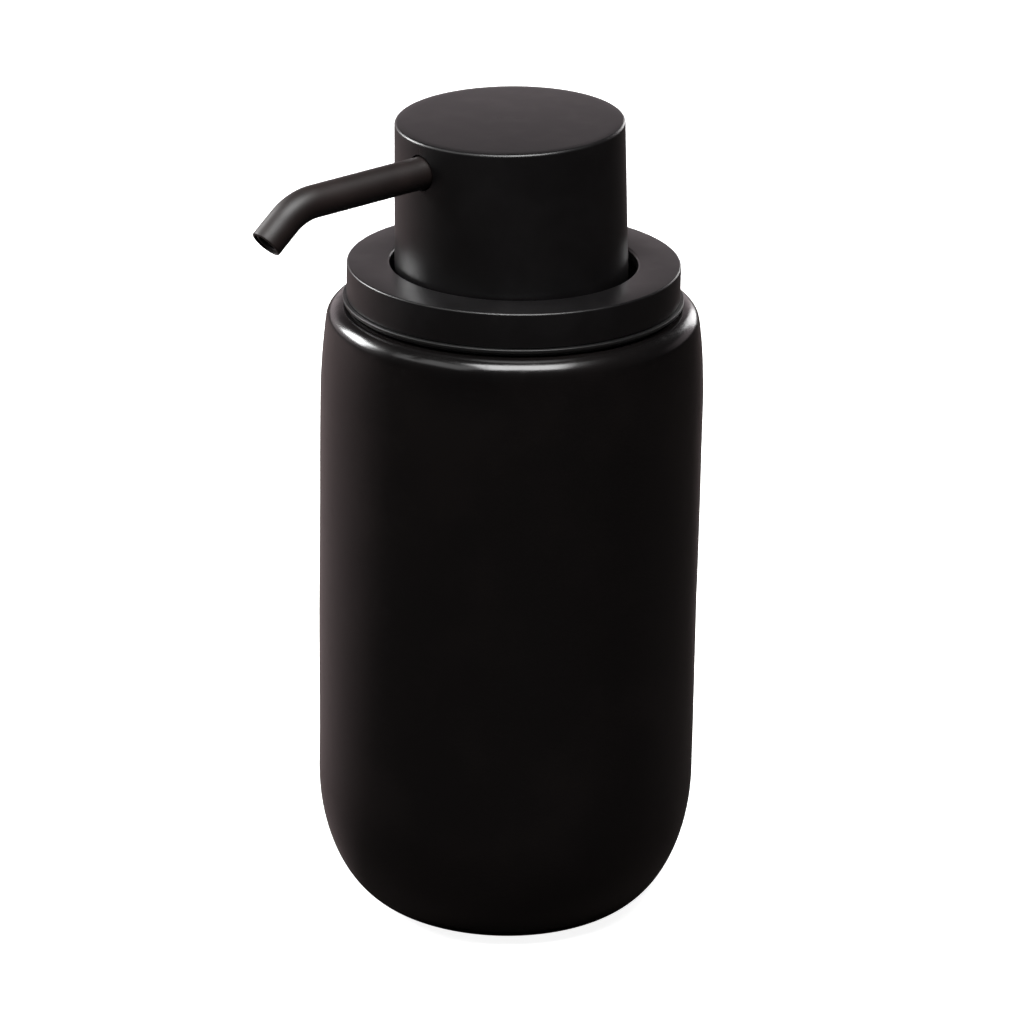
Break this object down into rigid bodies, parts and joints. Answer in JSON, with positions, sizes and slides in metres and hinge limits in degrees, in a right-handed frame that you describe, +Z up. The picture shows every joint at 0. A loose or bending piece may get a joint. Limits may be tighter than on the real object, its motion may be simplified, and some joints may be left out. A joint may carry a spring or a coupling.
{
  "type": "soap pump dispenser",
  "caption": "Glazed ceramic bottle with a lift-out lid, a spring-loaded press-down pump head and a slim bent spout, for dispensing liquid soap.",
  "frame": {"origin": "centre of the base, on the underside of the base pad", "axes": "+Z is up through the pump head, and the spout points along -Y at rest"},
  "size_m": [0.08, 0.1065, 0.1737],
  "materials": {
    "glaze": "gloss",
    "satin_black": "satin",
    "black_plastic": "matte",
    "natural_plastic": "satin",
    "clear_plastic": "gloss",
    "silicone": "matte",
    "pad_rubber": "matte",
    "steel": "polished"
  },
  "bodies": {
    "bottle": {"bottle": "glaze", "base_pad": "pad_rubber"},
    "lid": {"collar_ring": "satin_black", "well_cup": "black_plastic", "seal_ring": "silicone", "housing_gasket": "silicone", "pump_housing": "natural_plastic", "retaining_nut": "black_plastic", "stem_guide": "black_plastic", "ball_cage": "natural_plastic", "dip_tube": "clear_plastic", "return_spring": "steel"},
    "inlet_ball": {"inlet_ball": "steel"},
    "plunger": {"piston": "natural_plastic", "piston_stem": "natural_plastic"},
    "outlet_ball": {"outlet_ball": "steel"},
    "head": {"head_shell": "satin_black", "actuator_core": "black_plastic", "upper_stem": "natural_plastic", "spout_tube": "satin_black", "spout_liner": "black_plastic"}
  },
  "joints": [
    {"name": "lid_lift", "type": "slide", "parent": "bottle", "child": "lid", "axis": [0, 0, 1], "range_m": [0, 0.13]},
    {"name": "inlet_ball_lift", "type": "slide", "parent": "lid", "child": "inlet_ball", "axis": [0, 0, 1], "range_m": [0, 0.002]},
    {"name": "pump_stroke", "type": "slide", "parent": "lid", "child": "plunger", "axis": [0, 0, -1], "range_m": [0, 0.0135], "stiffness_N_per_m": 900, "springref_m": -0.007, "deforming": ["return_spring"]},
    {"name": "outlet_ball_lift", "type": "slide", "parent": "plunger", "child": "outlet_ball", "axis": [0, 0, 1], "range_m": [0, 0.0018]},
    {"name": "head_turn", "type": "hinge", "parent": "plunger", "child": "head", "pos_m": [0, 0, 0.15], "axis": [0, 0, 1], "continuous": true}
  ]
}
